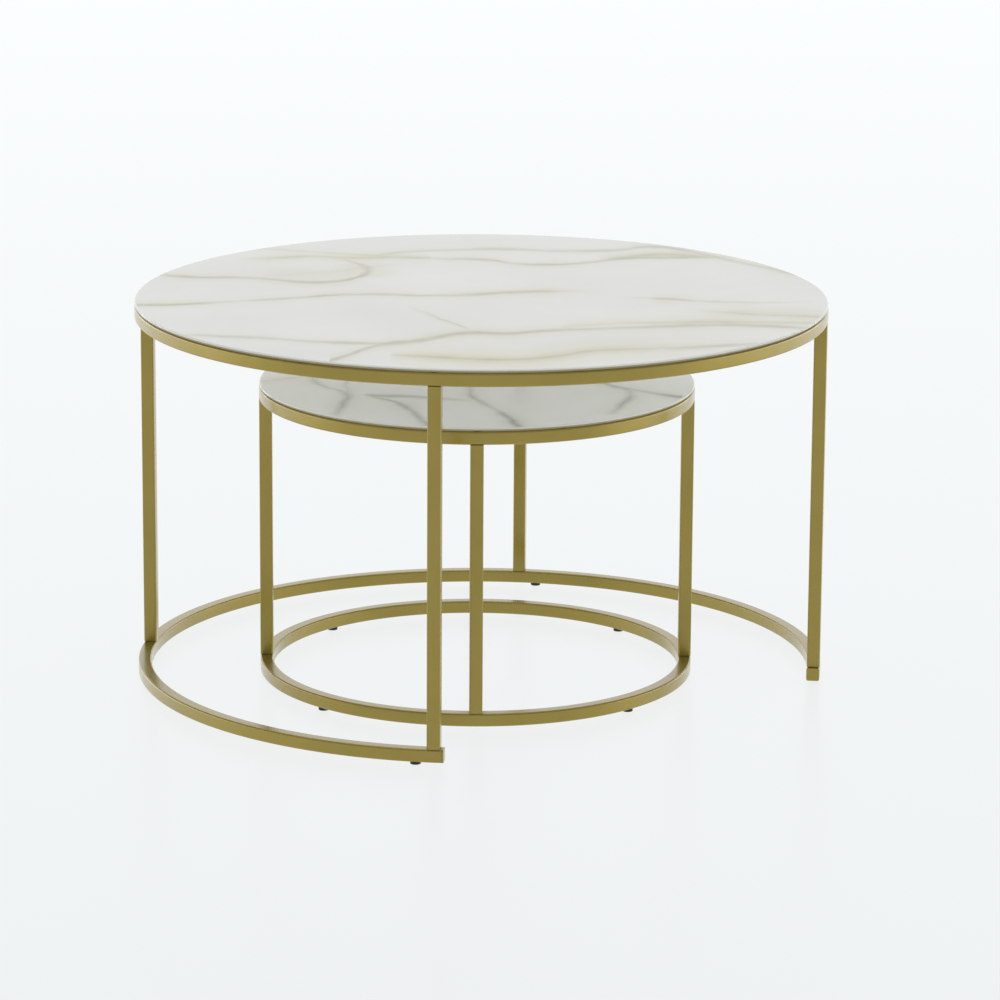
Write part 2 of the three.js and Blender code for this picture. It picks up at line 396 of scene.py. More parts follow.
SMALL_VEINS = (
    {"run": "away", "core": 11, "stain": 30, "tone": "grey", "points": (
        (-200, -156, 0), (-160, -153, 0.8), (-123, -149, 1.0), (-92, -148, 1.0), (-65, -156, 0.8),
        (-50, -170, 0.8), (-28, -184, 0.7), (20, -190, 0.5), (80, -160, 0.5), (160, -130, 0.4),
        (230, -90, 0.4))},
    {"run": "away", "core": 11, "stain": 30, "tone": "grey", "points": (
        (-250, -52, 0.7), (-198, -65, 0.9), (-168, -73, 0.7), (-142, -81, 0.8), (-121, -91, 0.8),
        (-100, -112, 0.7), (-80, -130, 0))},
    {"run": "away", "core": 9.5, "stain": 30, "tone": "grey", "points": (
        (-95, -148, 0), (-60, -149, 0.6), (-25, -150, 0.5), (40, -120, 0.3), (90, -80, 0))},
    {"run": "right", "core": 14, "stain": 30, "tone": "grey", "points": (
        (-130, -84, 0), (-112, -90, 0.8), (-88, -90, 0.8), (-64, -95, 0.7), (-30, -106, 0.4),
        (10, -118, 0))},
    {"run": "away", "core": 11, "stain": 32, "tone": "grey", "points": (
        (-252, 48, 1.0), (-225, 42, 1.0), (-200, 35, 1.0), (-162, 22, 0.8), (-123, 6, 0.8),
        (-94, -4, 0.8), (-65, -7, 0.6), (-35, -6, 0.5), (30, 24, 0.4), (110, 40, 0.5),
        (200, 82, 0.4))},
    {"run": "away", "core": 12, "stain": 36, "tone": "grey", "points": (
        (-185, 150, 0), (-160, 156, 0.6), (-127, 165, 0.9), (-108, 170, 1.0), (-72, 177, 1.0),
        (-46, 172, 0.9), (-20, 150, 0.8), (50, 128, 0.4), (140, 150, 0.4), (190, 160, 0.1))},
    {"run": "right", "core": 16, "stain": 40, "tone": "grey", "points": (
        (150, -32, 0), (178, -48, 0.7), (195, -61, 0.7), (217, -78, 1.0), (238, -92, 0.8))},
    {"run": "right", "core": 27, "stain": 60, "tone": "gold", "points": (
        (-250, -20, 0.2), (-190, 20, 0.4), (-110, 64, 0.6), (-20, 90, 0.5), (90, 70, 0.5),
        (180, 96, 0.4), (240, 110, 0.2))},
    {"run": "right", "core": 16, "stain": 42, "tone": "grey", "points": (
        (-236, 40, 0.3), (-216, 34, 0.5), (-170, 60, 0.4), (-60, 150, 0.5), (40, 168, 0.4),
        (140, 132, 0.5), (230, 60, 0.2))},
)
print("the large print has", len(LARGE_VEINS), "veins and the small one", len(SMALL_VEINS))

# %% [markdown]
# The print is worked out in shares of the top's diameter, because a Float Curve runs from 0
# to 1. The stone runs across the tables at an angle to the open side of the base, so the
# Mapping node turns the pattern by that angle about the middle of the top. The bends, ripples
# and clouds have the sizes that such a stone shows on a slab.

# %% Marble print
STONE_TURN = math.radians(37.8)
CLOUD_SIZE = 220 * MM
PATCH_SIZE = 90 * MM
WOBBLE_SIZE = 55 * MM
WOBBLE = 10 * MM
RIPPLE_SIZE = 14 * MM
RIPPLE = 3.5 * MM
LINE_SHARE = 0.3
GOLD_VEIN = "#C0B880"


def place_on_print(material, table, diameter):
    """Right and away over the top, as shares of its diameter, bent a little by noise."""
    here = add(material, "ShaderNodeTexCoord", output="Object")
    for size, depth in ((WOBBLE_SIZE, WOBBLE), (RIPPLE_SIZE, RIPPLE)):
        noise = add(material, "ShaderNodeTexNoise", {"Vector": here, "Scale": 1 / size, "Detail": 3.0},
                    output="Color")
        centred = add(material, "ShaderNodeVectorMath", {0: noise, 1: (0.5, 0.5, 0.5)},
                      operation="SUBTRACT")
        bend = add(material, "ShaderNodeVectorMath", {0: centred, 1: (depth, depth, 0)},
                   operation="MULTIPLY")
        here = add(material, "ShaderNodeVectorMath", {0: here, 1: bend}, operation="ADD")
    turn = Matrix.Rotation(STONE_TURN, 3, "Z")
    shift = Vector((0.5, 0.5, 0)) - turn @ axis_of(table) / diameter
    shares = add(material, "ShaderNodeMapping", {
        "Vector": here, "Location": shift, "Rotation": (0, 0, STONE_TURN),
        "Scale": (1 / diameter, 1 / diameter, 1),
    })
    return add(material, "ShaderNodeSeparateXYZ", {"Vector": shares}).node


def curve_through(material, along, points):
    """A Float Curve through points of two shares each."""
    result = add(material, "ShaderNodeFloatCurve", {"Value": along})
    mapping = result.node.mapping
    curve = mapping.curves[0]
    for x, y in points[1:-1]:
        curve.points.new(x, y)
    curve.points[0].location = points[0]
    curve.points[len(points) - 1].location = points[-1]
    mapping.update()
    return result


def draw_vein(material, vein, axes, diameter):
    """How strongly a vein's line, its core and its stain show at each point of the print."""
    along = axes.outputs[0 if vein["run"] == "right" else 1]
    side = axes.outputs[1 if vein["run"] == "right" else 0]
    share = MM / diameter
    path = [(0.5 + a * share, 0.5 + s * share) for a, s, strength in vein["points"]]
    strengths = [(0.5 + a * share, strength) for a, s, strength in vein["points"]]
    line = curve_through(material, along, path)
    strength = curve_through(material, along, strengths)
    off = add(material, "ShaderNodeMath", {0: side, 1: line}, operation="SUBTRACT")
    away = add(material, "ShaderNodeMath", {0: off}, operation="ABSOLUTE")
    parts = []
    for width in (LINE_SHARE * vein["core"], vein["core"], vein["stain"]):
        near = add(material, "ShaderNodeMapRange", {
            "Value": away, "From Max": width * share, "To Min": 1, "To Max": 0,
        }, interpolation_type="SMOOTHERSTEP")
        parts.append(add(material, "ShaderNodeMath", {0: near, 1: strength}, operation="MULTIPLY"))
    return parts


def marble_print(table, veins, grey, gold_stain, line_tint):
    material = new_material(f"{table}_marble_print_under_glass")
    diameter = size_of(f"{table}_glass_top").x
    axes = place_on_print(material, table, diameter)
    totals = {}
    for vein in veins:
        line, core, stain = draw_vein(material, vein, axes, diameter)
        for kind, part in (("line", line), (vein["tone"], core), ("stain", stain)):
            if kind in totals:
                part = add(material, "ShaderNodeMath", {0: totals[kind], 1: part}, operation="MAXIMUM")
            totals[kind] = part
    cloud = grain(material, CLOUD_SIZE, detail=4)
    ground = add(material, "ShaderNodeMix", {
        "Factor": spread(material, cloud, 0, 1), "A": linear("#EAEAE6"), "B": linear("#DFDFDA"),
    }, data_type="RGBA")
    patches = spread(material, grain(material, PATCH_SIZE, detail=6), 0.3, 1)
    colour = ground
    layers = (
        ("stain", 0.7, gold_stain),
        ("gold", 0.7, GOLD_VEIN),
        ("grey", 0.68, grey),
        ("line", 0.4, line_tint),
    )
    for kind, amount, tint in layers:
        share = add(material, "ShaderNodeMath", {0: totals[kind], 1: amount}, operation="MULTIPLY")
        broken = add(material, "ShaderNodeMath", {0: share, 1: patches}, operation="MULTIPLY")
        colour = add(material, "ShaderNodeMix", {"Factor": broken, "A": colour, "B": linear(tint)},
                     data_type="RGBA")
    surface(material, {"Base Color": colour, "Roughness": 0.22, "IOR": 1.5})
    return material


large_marble = marble_print("large", LARGE_VEINS, "#8D8E84", "#D6D0AC", "#7E7C6A")
small_marble = marble_print("small", SMALL_VEINS, "#767A77", "#CDCABA", "#5A5C58")
print("made", large_marble.name, "with", len(large_marble.node_tree.nodes), "nodes")

# %% [markdown]
# ## Edge and back of the glass
# Float glass is dark when it is looked into through its edge, because the light has a long way
# to go in it. The lower part of the rounded edge, which faces down, is painted in the colour of
# the gold tube below. That is a painted reflection of the tube, and its darkness is partly that
# of the glass and partly painted shade. The rounded upper corner of the edge still shows the
# white print. The back is sealed with a white enamel, sprayed, matt and a little uneven.
#
# Print and enamel are thin and let some of the light from above through. A weak glow of the
# enamel and of the edge stands for that light, as the disc itself is opaque here.

# %% Glass edge and back enamel
STREAK_SIZE = 6 * MM
MIST_SIZE = 3 * MM
BAND_SIZE = 120 * MM


def polished_glass_edge():
    material = new_material("polished_edge_of_clear_glass")
    facing = add(material, "ShaderNodeNewGeometry", output="Normal")
    upward = add(material, "ShaderNodeSeparateXYZ", {"Vector": facing}, output="Z")
    print_seen = add(material, "ShaderNodeMapRange", {
        "Value": upward, "From Min": 0.0, "From Max": 0.3,
    }, interpolation_type="SMOOTHSTEP")
    streaks = grain(material, STREAK_SIZE, stretch=(1, 1, 8))
    # Painted reflection and painted shade: the part of the edge that faces down takes the gold tube's
    # colour.
    glass = add(material, "ShaderNodeMix", {
        "Factor": spread(material, streaks, 0, 1), "A": linear("#948A60"), "B": linear("#A2986C"),
    }, data_type="RGBA")
    colour = add(material, "ShaderNodeMix", {
        "Factor": print_seen, "A": glass, "B": linear("#DCDDD8"),
    }, data_type="RGBA")
    surface(material, {
        "Base Color": colour, "Roughness": 0.12, "IOR": 1.5,
        "Emission Color": colour, "Emission Strength": 0.08,
    })
    return material


def back_enamel():
    material = new_material("white_back_enamel")
    mist = grain(material, MIST_SIZE, detail=3)
    bands = grain(material, BAND_SIZE, detail=2)
    colour = add(material, "ShaderNodeMix", {
        "Factor": spread(material, bands, 0, 1), "A": linear("#E3E3DE"), "B": linear("#D8D8D2"),
    }, data_type="RGBA")
    speckle = add(material, "ShaderNodeBump", {"Height": mist, "Strength": 0.3, "Distance": BUMP_HEIGHT})
    surface(material, {
        "Base Color": colour, "Roughness": spread(material, mist, 0.45, 0.6), "Normal": speckle,
        "Emission Color": linear("#EEF2F4"), "Emission Strength": 0.23,
    })
    return material


glass_edge = polished_glass_edge()
enamel = back_enamel()
print("made", glass_edge.name, "and", enamel.name)

# %% [markdown]
# ## Small parts' finishes
# The glides are black polyethylene from a spark-eroded mould, which gives a dull, finely
# grained face; the grain is drawn coarser than it is, so that it shows. The dots under the
# glass are clear silicone, which is milky and lets light through. The screws are zinc plated:
# a bluish metal, a little cloudy from the bath.

# %% Plastic, silicone and zinc
SPARK_SIZE = 0.7 * MM
HAZE_SIZE = 2 * MM
BATH_CLOUD = 2.5 * MM


def black_polyethylene():
    material = new_material("moulded_black_polyethylene")
    spark = grain(material, SPARK_SIZE, detail=2)
    bump = add(material, "ShaderNodeBump", {"Height": spark, "Strength": 0.35, "Distance": BUMP_HEIGHT})
    colour = add(material, "ShaderNodeMix", {
        "Factor": spread(material, spark, 0, 1), "A": linear("#1B1B1A"), "B": linear("#282826"),
    }, data_type="RGBA")
    surface(material, {
        "Base Color": colour, "Roughness": spread(material, spark, 0.5, 0.65),
        "IOR": 1.51, "Normal": bump,
    })
    return material


def clear_silicone():
    material = new_material("clear_silicone")
    haze = grain(material, HAZE_SIZE, detail=2)
    colour = add(material, "ShaderNodeMix", {
        "Factor": spread(material, haze, 0, 1), "A": linear("#DDE0DC"), "B": linear("#CDD1CC"),
    }, data_type="RGBA")
    surface(material, {
        "Base Color": colour, "Roughness": spread(material, haze, 0.25, 0.4),
        "IOR": 1.41, "Transmission Weight": 0.6,
    })
    return material


def zinc_plate():
    material = new_material("zinc_plated_steel")
    bath = grain(material, BATH_CLOUD, detail=3)
    colour = add(material, "ShaderNodeMix", {
        "Factor": spread(material, bath, 0, 1), "A": linear("#A4A8AB"), "B": linear("#BBBDBC"),
    }, data_type="RGBA")
    surface(material, {
        "Base Color": colour, "Metallic": 1.0, "Roughness": spread(material, bath, 0.28, 0.42),
    })
    return material


plastic = black_polyethylene()
silicone = clear_silicone()
zinc = zinc_plate()
print("made", plastic.name + ",", silicone.name, "and", zinc.name)

# %% [markdown]
# ## Square tube, rolled into rings
# Each ring is one length of square steel tube, rolled to a circle. Drawn tube has rounded
# corners, which catch a thin line of light, so the section matters more than anything else.
# By hand: a square plane, its four corners bevelled, its face deleted so that only the outline
# is left, and the outline spun round the table's axis. Solidify then gives the wall.

# %% Tube section
CORNER = 2.0 * MM
CORNER_SEGMENTS = 5
WALL = 1.2 * MM
RING_STEPS = 256


def tube_outline(name, axis, radius, height):
    """The tube's outline as a loop of edges, standing at radius on the +X side of the axis."""
    piece = start(name, bpy.ops.mesh.primitive_plane_add, size=TUBE,
                  location=axis + Vector((radius, 0, height)), rotation=(math.radians(90), 0, 0))
    bpy.ops.mesh.bevel(offset=CORNER, segments=CORNER_SEGMENTS, affect="VERTICES")
    bpy.ops.mesh.select_all(action="SELECT")
    bpy.ops.mesh.delete(type="ONLY_FACE")
    bpy.ops.mesh.select_all(action="SELECT")
    return piece


def give_wall(piece):
    """Turn the outer skin of a tube into a wall of real thickness."""
    select_only(piece)
    modifier = piece.modifiers.new("wall", "SOLIDIFY")
    modifier.thickness = WALL
    modifier.offset = -1
    bpy.ops.object.modifier_apply(modifier=modifier.name)
    return piece


def closed_ring(name, table, node):
    """A ring of tube that closes on itself, where the node's ring is."""
    piece = tube_outline(name, axis_of(table), tube_radius(table), middle_of(node).z)
    bpy.ops.mesh.spin(steps=RING_STEPS, angle=2 * math.pi, center=axis_of(table), axis=(0, 0, 1))
    close_up(piece)
    return give_wall(piece)


# %% [markdown]
# The base ring of the large table is open at the front, so that the small table can come out.
# Its tube starts a little past one front leg and ends a little past the other. It is spun a
# bit too long, and both ends are then bisected flat, parallel to the sides of the legs.

# %% Open base ring
OVERHANG = 2 * MM
END_PAST_LEG = size_of("large_end_cap_right").z / 2 + OVERHANG
SPARE = math.radians(3)
NEAR_LEG = 4 * TUBE


def open_ring(name, table, node, first_leg, last_leg):
    axis = axis_of(table)
    begin = direction_of(first_leg, table) - SPARE
    finish = direction_of(last_leg, table) + SPARE
    sweep = (finish - begin) % (2 * math.pi)
    piece = tube_outline(name, axis, tube_radius(table), middle_of(node).z)
    bpy.ops.object.mode_set(mode="OBJECT")
    piece.rotation_euler.z = begin
    settle(piece)
    bpy.ops.object.mode_set(mode="EDIT")
    bpy.ops.mesh.select_all(action="SELECT")
    steps = round(RING_STEPS * sweep / (2 * math.pi))
    bpy.ops.mesh.spin(steps=steps, angle=-sweep, center=axis, axis=(0, 0, 1))
    for leg, way in ((first_leg, -1), (last_leg, 1)):
        outward = along_ring(leg, table, way)
        leg_middle = middle_of(leg)
        choose(piece, "faces",
               lambda face: (face.calc_center_median() - leg_middle).xy.length < NEAR_LEG)
        tube_end = leg_middle + outward * END_PAST_LEG
        bpy.ops.mesh.bisect(plane_co=tube_end, plane_no=outward, clear_outer=True)
    close_up(piece)
    return give_wall(piece)


# %% [markdown]
# ## Holes in the rings
# Each leg is held by a screw from inside the ring tube. The wall that meets the leg has a hole
# for the screw, and the wall across from it a wider one for the key. The base rings also have
# a hole for the stem of each glide. A row of cylinders, joined into one cutter, makes them all.

# %% Cut the holes
SCREW_HOLE = 6.6 * MM
KEY_HOLE = 12 * MM
STEM_HOLE = 5.6 * MM
HOLE_SIDES = 32


def drill(holes):
    """A cutter with a cylinder for each hole: (node above or below it, diameter, bottom, top)."""
    drills = []
    for node, diameter, low, high in holes:
        place = middle_of(node)
        place.z = (low + high) / 2
        drills.append(start("drill", bpy.ops.mesh.primitive_cylinder_add, vertices=HOLE_SIDES,
                            radius=diameter / 2, depth=high - low, location=place))
        bpy.ops.object.mode_set(mode="OBJECT")
    select_only(*drills)
    bpy.ops.object.join()
    return bpy.context.object


def cut_holes(piece, table, node, legs_above):
    """The screws' and keys' holes at each leg and, under a base ring, the holes for the stems."""
    low, high = (corner.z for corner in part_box(node))
    below = (low - MM, low + TUBE / 3)
    above = (high - TUBE / 3, high + MM)
    holes = []
    for place in PLACES:
        leg = f"{table}_leg_{place}"
        holes.append((leg, KEY_HOLE, *(below if legs_above else above)))
        holes.append((leg, SCREW_HOLE, *(above if legs_above else below)))
        if legs_above:
            holes.append((f"{table}_glide_{place}", STEM_HOLE, *below))
    cutter = drill(holes)
    cut(piece, cutter)
    discard(cutter)
    return piece


for table in TABLES:
    node = f"{table}_top_ring"
    ring = closed_ring(f"{table}_rim_tube", table, node)
    cut_holes(ring, table, node, legs_above=False)
    hand_in(ring, table, [node], [gold])

    node = f"{table}_base_ring"
    if size_of(f"{table}_base_ring").y < size_of(f"{table}_top_ring").y - TUBE:
        ring = open_ring(f"{table}_floor_tube", table, node,
                         f"{table}_leg_front_right", f"{table}_leg_front_left")
    else:
        ring = closed_ring(f"{table}_floor_tube", table, node)
    cut_holes(ring, table, node, legs_above=True)
    hand_in(ring, table, [node], [gold])
    print(table, "rings:", [len(piece.data.polygons) for piece in made[-2:]], "faces")

# %% [markdown]
# ## Legs
# A leg is a straight length of the same tube, with a threaded block welded into each end. The
# cut ends are slightly chamfered, and the joint to the ring shows as a fine dark line. One leg
# is shaped at the origin for each table and copied to the four places.

# %% Legs
BLOCK = 15 * MM
END_CHAMFER = 0.6 * MM


def bar(name, width, low, high):
    """A square bar on the Z axis, in edit mode."""
    return start(name, bpy.ops.mesh.primitive_cube_add, size=1, location=(0, 0, (low + high) / 2),
                 scale=(width, width, high - low))


def leg_master(table):
    low = bottom_of(f"{table}_leg_rear_left")
    high = low + size_of(f"{table}_leg_rear_left").z
    middle = (low + high) / 2
    reach = (high - low) / 2

    def at_an_end(edge):
        return all(abs(abs(vertex.co.z - middle) - reach) < HAIR for vertex in edge.verts)

    leg = bar("leg_master", TUBE, low, high)
    choose(leg, "edges", lambda edge: abs(edge.verts[0].co.z - edge.verts[1].co.z) > TUBE)
    bpy.ops.mesh.bevel(offset=CORNER, segments=CORNER_SEGMENTS, affect="EDGES")
    choose(leg, "edges", at_an_end)
    bpy.ops.mesh.bevel(offset=END_CHAMFER, segments=2, affect="EDGES")
    bpy.ops.object.mode_set(mode="OBJECT")
    hollow = bar("hollow", TUBE - 2 * WALL, low + BLOCK, high - BLOCK)
    bpy.ops.object.mode_set(mode="OBJECT")
    thread = start("thread", bpy.ops.mesh.primitive_cylinder_add, vertices=HOLE_SIDES,
                   radius=SCREW_HOLE / 2, depth=high - low + 2 * MM, location=(0, 0, middle))
    bpy.ops.object.mode_set(mode="OBJECT")
    cut(leg, hollow)
    cut(leg, thread)
    discard(hollow, thread)
    return leg


for table in TABLES:
    master = leg_master(table)
    for place in PLACES:
        node = f"{table}_leg_{place}"
        middle = middle_of(node)
        leg = copy_to(master, f"{table}_leg_tube_{place}", (middle.x, middle.y, 0),
                      direction_of(node, table))
        hand_in(leg, table, [node], [gold])
    discard(master)
print("rings and legs:", len(made))

# %% [markdown]
# ## End plates of the open ring
# A small plate closes each end of the open base ring, flush with the tube's outline. Its plug
# sits in the tube. The plate is the tube's own outline as a face, extruded, with its outer
# edge softened; the plug is an inset of its inner face, extruded into the tube.

# %% End plates
PLATE = 1.5 * MM
PLATE_SEAT = 0.3 * MM
PLATE_EDGE = 0.4 * MM
PLUG_GAP = 0.5 * MM
PLUG_LENGTH = 4 * MM
MOSTLY = 0.9


def end_plate(name, node, leg, way):
    """A plate that looks along the ring: way is 1 for growing angles, -1 for falling."""
    plate = start(name, bpy.ops.mesh.primitive_plane_add, size=TUBE, rotation=(math.radians(90), 0, 0))
    bpy.ops.mesh.bevel(offset=CORNER, segments=CORNER_SEGMENTS, affect="VERTICES")
    bpy.ops.mesh.select_all(action="SELECT")
    bpy.ops.mesh.extrude_region_move(TRANSFORM_OT_translate={"value": (0, PLATE, 0)})
    bpy.ops.mesh.select_all(action="SELECT")
    bpy.ops.mesh.normals_make_consistent(inside=False)
    choose(plate, "faces", lambda face: face.normal.y > MOSTLY)
    bpy.ops.mesh.bevel(offset=PLATE_EDGE, segments=3, affect="EDGES")
    choose(plate, "faces", lambda face: face.normal.y < -MOSTLY)
    bpy.ops.mesh.inset(thickness=WALL + PLUG_GAP)
    bpy.ops.mesh.extrude_region_move(TRANSFORM_OT_translate={"value": (0, -PLUG_LENGTH, 0)})
    bpy.ops.mesh.bevel(offset=PLATE_EDGE, segments=2, affect="EDGES")
    close_up(plate)
    if way < 0:
        plate.scale.y = -1
        settle(plate)
        bpy.ops.object.mode_set(mode="EDIT")
        close_up(plate)
    leg_middle = middle_of(leg)
    beside = Vector((leg_middle.x, leg_middle.y, middle_of(node).z))
    plate.location = beside + along_ring(leg, "large", way) * (END_PAST_LEG + PLATE_SEAT)
    plate.rotation_euler.z = direction_of(leg, "large")
    return settle(plate)


for side, way in (("right", -1), ("left", 1)):
    node = f"large_end_cap_{side}"
    plate = end_plate(f"large_end_plate_{side}", node, f"large_leg_front_{side}", way)
    hand_in(plate, "large", [node], [gold])
    corners = [Vector([pick(vertex.co[axis] for vertex in plate.data.vertices) for axis in range(3)])
               for pick in (min, max)]
    gaps = [round((a - b).length / MM, 2) for a, b in zip(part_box(node), corners)]
    print(plate.name, "differs from its node's box by", gaps, "mm")

# %% [markdown]
# ## Glass tops
# Tempered glass has no sharp edge: it is ground and polished to a round, or it would chip. The
# disc starts as a cylinder, and both of its rims are bevelled with many segments. Its top takes
# the print, its back the enamel and the rounded band between them the look of the glass edge.

# %% Glass tops
GLASS_SIDES = 256
EDGE_ROUND = 1.9 * MM
EDGE_SEGMENTS = 8
FLAT = 0.999
FACE_LOOK, EDGE_LOOK, BACK_LOOK = range(3)


def glass_disc(name, table):
    node = f"{table}_glass_top"
    disc = start(name, bpy.ops.mesh.primitive_cylinder_add, vertices=GLASS_SIDES,
                 radius=size_of(node).x / 2, depth=size_of(node).z, location=middle_of(node))
    choose(disc, "edges", lambda edge: abs(edge.verts[0].co.z - edge.verts[1].co.z) < HAIR)
    bpy.ops.mesh.bevel(offset=EDGE_ROUND, segments=EDGE_SEGMENTS, affect="EDGES")
    close_up(disc)
    for face in disc.data.polygons:
        if face.normal.z > FLAT:
            face.material_index = FACE_LOOK
        elif face.normal.z < -FLAT:
            face.material_index = BACK_LOOK
        else:
            face.material_index = EDGE_LOOK
    return disc


for table, marble in (("large", large_marble), ("small", small_marble)):
    disc = glass_disc(f"{table}_marble_glass", table)
    hand_in(disc, table, [f"{table}_glass_top"], [marble, glass_edge, enamel])
    print(disc.name, "is", round(disc.dimensions.x / MM), "mm across")

# %% [markdown]
# ## Turned parts
# Glides, silicone dots and screws are round about one axis. Each is drawn as half an outline
# from the axis out and back to the axis, one extruded point after another, and then spun a full
# turn. The points where the outline meets the axis merge into closed poles.

# %% Lathe
TURN_STEPS = 40


def lathe(name, outline, steps=TURN_STEPS):
    """A closed piece from an outline of (radius, height) points that starts and ends on the axis."""
    radius, height = outline[0]
    piece = start(name, bpy.ops.mesh.primitive_plane_add, size=MM, location=(radius, 0, height))
    bpy.ops.mesh.merge(type="CENTER")
    for (r0, z0), (r1, z1) in zip(outline, outline[1:]):
        bpy.ops.mesh.extrude_region_move(TRANSFORM_OT_translate={"value": (r1 - r0, 0, z1 - z0)})
    bpy.ops.mesh.select_all(action="SELECT")
    bpy.ops.mesh.spin(steps=steps, angle=2 * math.pi, center=(0, 0, 0), axis=(0, 0, 1))
    return close_up(piece)


def rounding(radius, height, size, start_angle, end_angle, segments=4):
    """Points of a rounded corner with its centre at (radius, height), from one angle to another."""
    angles = [start_angle + (end_angle - start_angle) * i / segments for i in range(segments + 1)]
    return [(radius + size * math.cos(math.radians(a)), height + size * math.sin(math.radians(a)))
            for a in angles]


# %% [markdown]
# ### Glides
# A glide is a push-in foot: a round pad with a soft lower edge and a shallow dish underneath,
# and a stem with two barbs that hold it in its hole.

# %% Glides
def glide_master(node):
    """A pad from the floor up to its shoulder, and a barbed stem from there to the top."""
    across = size_of(node).x / 2
    top = size_of(node).z
    dish = 0.3 * MM
    dish_edge = across - 3.2 * MM
    sole_edge = across - 2.7 * MM
    edge = 0.8 * MM
    lip = 0.3 * MM
    shoulder = 3.5 * MM
    stem = 2.5 * MM
    neck = stem - 0.4 * MM
    tip = stem - 0.9 * MM
    barb_edge = 0.4 * MM
    barb_end = 1.4 * MM
    outline = [(0, dish), (dish_edge, dish), (sole_edge, 0)]
    outline += rounding(across - edge, edge, edge, -90, 0)
    outline += rounding(across - lip, shoulder - lip, lip, 0, 90, 2)
    outline += [(neck, shoulder)]
    for barb in (5.2 * MM, 7.2 * MM):
        outline += [(neck, barb), (stem, barb), (stem, barb + barb_edge), (neck, barb + barb_end)]
    outline += [(tip, top), (0, top)]
    return lathe("glide_master", outline)


master = glide_master("small_glide_front_right")
for table in TABLES:
    for place in PLACES:
        node = f"{table}_glide_{place}"
        middle = middle_of(node)
        glide = copy_to(master, f"{table}_foot_glide_{place}", (middle.x, middle.y, bottom_of(node)), 0)
        hand_in(glide, table, [node], [plastic])
discard(master)
print("glide:", len(made[-1].data.polygons), "faces")

# %% [markdown]
# ### Silicone dots
# Eight dots under each glass keep it from sliding and from ringing on the steel. The weight of
# the glass presses them flat, so that their edge bulges out.

# %% Silicone dots
DOTS = 8


def dot_master(node):
    radius = size_of(node).x / 2
    half = size_of(node).z / 2
    outline = [(0, 0), (radius - half, 0)]
    outline += rounding(radius - half, half, half, -90, 90, segments=6)[1:]
    outline += [(0, 2 * half)]
    return lathe("dot_master", outline)


master = dot_master("large_glass_pad_1")
for table in TABLES:
    for number in range(1, DOTS + 1):
        node = f"{table}_glass_pad_{number}"
        middle = middle_of(node)
        dot = copy_to(master, f"{table}_silicone_dot_{number}", (middle.x, middle.y, bottom_of(node)), 0)
        hand_in(dot, table, [node], [silicone])
discard(master)
print("dots:", DOTS, "under each glass")

# %% [markdown]
# ### Screws
# The legs hang on button-head screws with a hexagon socket. The head is a low dome. The thread
# is drawn as a row of grooves, one for each turn of its 1 mm pitch, as its spiral can't be seen
# from outside the tube. The socket is cut with a hexagonal bar.

# %% Screws
PITCH = 1 * MM
SOCKET = 4 * MM
SOCKET_DEPTH = 2 * MM


def screw_master(node):
    """A screw that points up, with the underside of its head at height zero."""
    head = size_of(node).x / 2
    shank = 3 * MM
    root = 2.5 * MM
    point = root - 0.3 * MM
    head_height = 3.3 * MM
    dome = 0.75
    length = size_of(node).z - head_height
    outline = [(0, -head_height)]
    for degrees in (30, 45, 60, 75, 90):
        angle = math.radians(degrees)
        outline += [(head * math.sin(angle), -head_height * (math.cos(angle) * dome + 1 - dome))]
    outline += [(head - 0.2 * MM, 0), (shank, 0), (shank, PITCH)]
    turns = round((length - 2 * PITCH) / PITCH)
    for turn in range(turns):
        crest = PITCH * (turn + 1)
        outline += [(root, crest + 0.5 * PITCH), (shank, crest + 0.95 * PITCH)]
    outline += [(point, length), (0, length)]
    screw = lathe("screw_master", outline, steps=24)
    hexagon = start("hexagon", bpy.ops.mesh.primitive_cylinder_add, vertices=6,
                    radius=SOCKET / 2 / math.cos(math.radians(30)), depth=2 * SOCKET_DEPTH,
                    location=(0, 0, -head_height))
    bpy.ops.object.mode_set(mode="OBJECT")
    cut(screw, hexagon)
    discard(hexagon)
    return screw


up_master = screw_master("large_base_bolt_front_right")
down_master = copy_to(up_master, "down_master", (0, 0, 0), 0)
down_master.rotation_euler.x = math.pi
settle(down_master)
for table in TABLES:
    for place in PLACES:
        for end, master in (("base", up_master), ("top", down_master)):
            node = f"{table}_{end}_bolt_{place}"
            middle = middle_of(node)
            lowest = min(vertex.co.z for vertex in master.data.vertices)
            screw = copy_to(master, f"{table}_{end}_screw_{place}",
                            (middle.x, middle.y, bottom_of(node) - lowest), direction_of(node, table))
            hand_in(screw, table, [node], [zinc])
discard(up_master, down_master)
print("pieces:", len(made))

# %% [markdown]
# ## Camera
# A long lens from well back, a little above the tables and towards their open side, keeps the
# ellipses of the tops flat and the legs upright.

# %% Camera
CAMERA_PLACE = Vector((-3.240, -4.183, 1.4955))
CAMERA_AIM = Vector((0.050, 0.027, 0.191))
CAMERA_ROLL = math.radians(0.36)
CAMERA_LENS = 168
CAMERA_REACH = 200

camera = bpy.data.objects.new("camera", bpy.data.cameras.new("camera"))
bpy.context.scene.collection.objects.link(camera)
camera.data.lens = CAMERA_LENS
camera.location = CAMERA_PLACE
look = (CAMERA_AIM - CAMERA_PLACE).to_track_quat("-Z", "Y").to_matrix()
camera.rotation_euler = (look @ Matrix.Rotation(CAMERA_ROLL, 3, "Z")).to_euler()
camera.data.clip_end = CAMERA_REACH
bpy.context.scene.camera = camera
print("camera:", CAMERA_LENS, "mm lens,", round((CAMERA_AIM - CAMERA_PLACE).length, 2), "m away")

